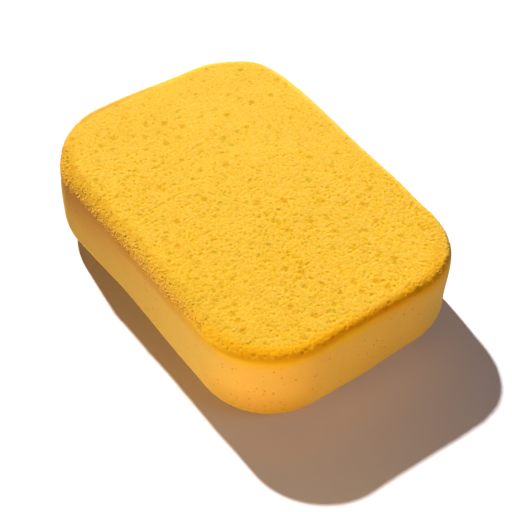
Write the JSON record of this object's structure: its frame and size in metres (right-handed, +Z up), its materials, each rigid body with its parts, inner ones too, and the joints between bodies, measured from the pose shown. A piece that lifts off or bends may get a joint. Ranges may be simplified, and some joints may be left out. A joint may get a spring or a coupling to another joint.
{
  "type": "cleaning sponge",
  "caption": "Block sponge of open-cell foam, a rounded rectangle in plan, with a flat top, a small top rim and a fuller rounding round the underside.",
  "frame": {"origin": "middle of the underside, on the surface the block rests on", "axes": "+X along the long side, +Y along the short side, +Z up"},
  "size_m": [0.19, 0.134, 0.051],
  "materials": {
    "foam": "matte open-cell foam"
  },
  "bodies": {
    "root": {"sponge": "foam"}
  },
  "joints": []
}
